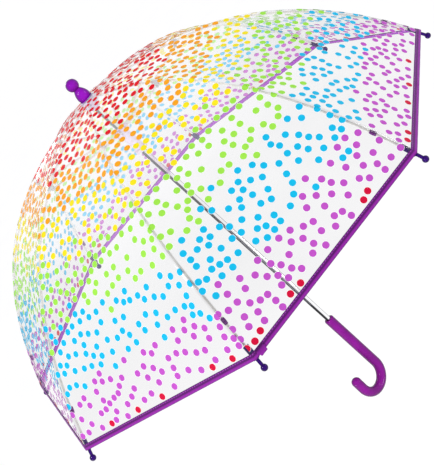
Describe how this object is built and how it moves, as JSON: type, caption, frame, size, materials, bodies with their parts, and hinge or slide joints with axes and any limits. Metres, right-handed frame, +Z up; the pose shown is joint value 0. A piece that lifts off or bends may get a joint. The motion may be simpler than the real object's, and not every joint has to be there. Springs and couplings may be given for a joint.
{
  "type": "children's umbrella",
  "caption": "Open dome umbrella for a child: clear dotted film on hinged ribs, sliding runner with stretchers, J-handle and ball ferrule.",
  "frame": {"origin": "on the shaft's axis at the middle of the grip's straight length", "axes": "+Z up along the shaft to the ferrule, the handle hooks towards -X, a rib lies over +X"},
  "size_m": [0.7328, 0.7328, 0.6417],
  "materials": {
    "clear_film": "clear flexible plastic film with printed dots",
    "hem_tape": "purple folded binding tape",
    "tip_plastic": "indigo moulded plastic",
    "joint_metal": "plated steel",
    "rib_metal": "pale grey coated steel",
    "shaft_chrome": "polished chrome plate",
    "spring_steel": "bright spring steel",
    "grip_plastic": "glossy purple moulded plastic",
    "ferrule_plastic": "glossy purple moulded plastic",
    "washer_plastic": "purple moulded plastic",
    "runner_plastic": "pale lavender moulded plastic"
  },
  "bodies": {
    "frame": {"shaft": "shaft_chrome", "grip": "grip_plastic", "ferrule": "ferrule_plastic", "canopy_washer": "washer_plastic", "crown": "runner_plastic", "crown_wire": "spring_steel", "runner_stop": "runner_plastic"},
    "runner": {"runner": "runner_plastic", "runner_wire": "spring_steel"},
    "rib_1_body": {"rib_1": "rib_metal", "rib_joint_1": "joint_metal", "rib_tip_1": "tip_plastic", "canopy_gore_1": "clear_film", "hem_1": "hem_tape"},
    "stretcher_1_body": {"stretcher_1": "rib_metal"},
    "rib_2_body": {"rib_2": "rib_metal", "rib_joint_2": "joint_metal", "rib_tip_2": "tip_plastic", "canopy_gore_2": "clear_film", "hem_2": "hem_tape"},
    "stretcher_2_body": {"stretcher_2": "rib_metal"},
    "rib_3_body": {"rib_3": "rib_metal", "rib_joint_3": "joint_metal", "rib_tip_3": "tip_plastic", "canopy_gore_3": "clear_film", "hem_3": "hem_tape"},
    "stretcher_3_body": {"stretcher_3": "rib_metal"},
    "rib_4_body": {"rib_4": "rib_metal", "rib_joint_4": "joint_metal", "rib_tip_4": "tip_plastic", "canopy_gore_4": "clear_film", "hem_4": "hem_tape"},
    "stretcher_4_body": {"stretcher_4": "rib_metal"},
    "rib_5_body": {"rib_5": "rib_metal", "rib_joint_5": "joint_metal", "rib_tip_5": "tip_plastic", "canopy_gore_5": "clear_film", "hem_5": "hem_tape"},
    "stretcher_5_body": {"stretcher_5": "rib_metal"},
    "rib_6_body": {"rib_6": "rib_metal", "rib_joint_6": "joint_metal", "rib_tip_6": "tip_plastic", "canopy_gore_6": "clear_film", "hem_6": "hem_tape", "closure_strap": "hem_tape"},
    "stretcher_6_body": {"stretcher_6": "rib_metal"},
    "rib_7_body": {"rib_7": "rib_metal", "rib_joint_7": "joint_metal", "rib_tip_7": "tip_plastic", "canopy_gore_7": "clear_film", "hem_7": "hem_tape"},
    "stretcher_7_body": {"stretcher_7": "rib_metal"},
    "rib_8_body": {"rib_8": "rib_metal", "rib_joint_8": "joint_metal", "rib_tip_8": "tip_plastic", "canopy_gore_8": "clear_film", "hem_8": "hem_tape"},
    "stretcher_8_body": {"stretcher_8": "rib_metal"},
    "upper_catch_body": {"upper_catch": "spring_steel"},
    "lower_catch_body": {"lower_catch": "spring_steel"}
  },
  "joints": [
    {"name": "runner_slide", "type": "slide", "parent": "frame", "child": "runner", "axis": [0, 0, 1], "range_m": [-0.15777, 0]},
    {"name": "rib_1_hinge", "type": "hinge", "parent": "frame", "child": "rib_1_body", "pos_m": [0.009, 0, 0.5195], "axis": [0, 1, 0], "range_deg": [0, 48.7], "deforming": ["canopy_gore_1", "hem_1"]},
    {"name": "stretcher_1_hinge", "type": "hinge", "parent": "rib_1_body", "child": "stretcher_1_body", "pos_m": [0.12695, 0, 0.4909], "axis": [0, 1, 0], "range_deg": [-97.4, 0]},
    {"name": "rib_2_hinge", "type": "hinge", "parent": "frame", "child": "rib_2_body", "pos_m": [0.00636, 0.00636, 0.5195], "axis": [-0.7071, 0.7071, 0], "range_deg": [0, 48.7], "deforming": ["canopy_gore_2", "hem_2"]},
    {"name": "stretcher_2_hinge", "type": "hinge", "parent": "rib_2_body", "child": "stretcher_2_body", "pos_m": [0.08977, 0.08977, 0.4909], "axis": [-0.7071, 0.7071, 0], "range_deg": [-97.4, 0]},
    {"name": "rib_3_hinge", "type": "hinge", "parent": "frame", "child": "rib_3_body", "pos_m": [0, 0.009, 0.5195], "axis": [-1, 0, 0], "range_deg": [0, 48.7], "deforming": ["canopy_gore_3", "hem_3"]},
    {"name": "stretcher_3_hinge", "type": "hinge", "parent": "rib_3_body", "child": "stretcher_3_body", "pos_m": [0, 0.12695, 0.4909], "axis": [-1, 0, 0], "range_deg": [-97.4, 0]},
    {"name": "rib_4_hinge", "type": "hinge", "parent": "frame", "child": "rib_4_body", "pos_m": [-0.00636, 0.00636, 0.5195], "axis": [-0.7071, -0.7071, 0], "range_deg": [0, 48.7], "deforming": ["canopy_gore_4", "hem_4"]},
    {"name": "stretcher_4_hinge", "type": "hinge", "parent": "rib_4_body", "child": "stretcher_4_body", "pos_m": [-0.08977, 0.08977, 0.4909], "axis": [-0.7071, -0.7071, 0], "range_deg": [-97.4, 0]},
    {"name": "rib_5_hinge", "type": "hinge", "parent": "frame", "child": "rib_5_body", "pos_m": [-0.009, 0, 0.5195], "axis": [0, -1, 0], "range_deg": [0, 48.7], "deforming": ["canopy_gore_5", "hem_5"]},
    {"name": "stretcher_5_hinge", "type": "hinge", "parent": "rib_5_body", "child": "stretcher_5_body", "pos_m": [-0.12695, 0, 0.4909], "axis": [0, -1, 0], "range_deg": [-97.4, 0]},
    {"name": "rib_6_hinge", "type": "hinge", "parent": "frame", "child": "rib_6_body", "pos_m": [-0.00636, -0.00636, 0.5195], "axis": [0.7071, -0.7071, 0], "range_deg": [0, 48.7], "deforming": ["canopy_gore_6", "hem_6"]},
    {"name": "stretcher_6_hinge", "type": "hinge", "parent": "rib_6_body", "child": "stretcher_6_body", "pos_m": [-0.08977, -0.08977, 0.4909], "axis": [0.7071, -0.7071, 0], "range_deg": [-97.4, 0]},
    {"name": "rib_7_hinge", "type": "hinge", "parent": "frame", "child": "rib_7_body", "pos_m": [0, -0.009, 0.5195], "axis": [1, 0, 0], "range_deg": [0, 48.7], "deforming": ["canopy_gore_7", "hem_7"]},
    {"name": "stretcher_7_hinge", "type": "hinge", "parent": "rib_7_body", "child": "stretcher_7_body", "pos_m": [0, -0.12695, 0.4909], "axis": [1, 0, 0], "range_deg": [-97.4, 0]},
    {"name": "rib_8_hinge", "type": "hinge", "parent": "frame", "child": "rib_8_body", "pos_m": [0.00636, -0.00636, 0.5195], "axis": [0.7071, 0.7071, 0], "range_deg": [0, 48.7], "deforming": ["canopy_gore_8", "hem_8"]},
    {"name": "stretcher_8_hinge", "type": "hinge", "parent": "rib_8_body", "child": "stretcher_8_body", "pos_m": [0.08977, -0.08977, 0.4909], "axis": [0.7071, 0.7071, 0], "range_deg": [-97.4, 0]},
    {"name": "upper_catch_press", "type": "slide", "parent": "frame", "child": "upper_catch_body", "axis": [-0.3827, -0.9239, 0], "range_m": [0, 0.0016], "stiffness_N_per_m": 600},
    {"name": "lower_catch_press", "type": "slide", "parent": "frame", "child": "lower_catch_body", "axis": [-0.3827, -0.9239, 0], "range_m": [0, 0.0016], "stiffness_N_per_m": 600}
  ],
  "couplings": [
    {"joint": "rib_1_hinge", "follows": "runner_slide", "rad_per_m": -5.3874},
    {"joint": "stretcher_1_hinge", "follows": "runner_slide", "rad_per_m": 10.775},
    {"joint": "rib_2_hinge", "follows": "runner_slide", "rad_per_m": -5.3874},
    {"joint": "stretcher_2_hinge", "follows": "runner_slide", "rad_per_m": 10.775},
    {"joint": "rib_3_hinge", "follows": "runner_slide", "rad_per_m": -5.3874},
    {"joint": "stretcher_3_hinge", "follows": "runner_slide", "rad_per_m": 10.775},
    {"joint": "rib_4_hinge", "follows": "runner_slide", "rad_per_m": -5.3874},
    {"joint": "stretcher_4_hinge", "follows": "runner_slide", "rad_per_m": 10.775},
    {"joint": "rib_5_hinge", "follows": "runner_slide", "rad_per_m": -5.3874},
    {"joint": "stretcher_5_hinge", "follows": "runner_slide", "rad_per_m": 10.775},
    {"joint": "rib_6_hinge", "follows": "runner_slide", "rad_per_m": -5.3874},
    {"joint": "stretcher_6_hinge", "follows": "runner_slide", "rad_per_m": 10.775},
    {"joint": "rib_7_hinge", "follows": "runner_slide", "rad_per_m": -5.3874},
    {"joint": "stretcher_7_hinge", "follows": "runner_slide", "rad_per_m": 10.775},
    {"joint": "rib_8_hinge", "follows": "runner_slide", "rad_per_m": -5.3874},
    {"joint": "stretcher_8_hinge", "follows": "runner_slide", "rad_per_m": 10.775}
  ]
}
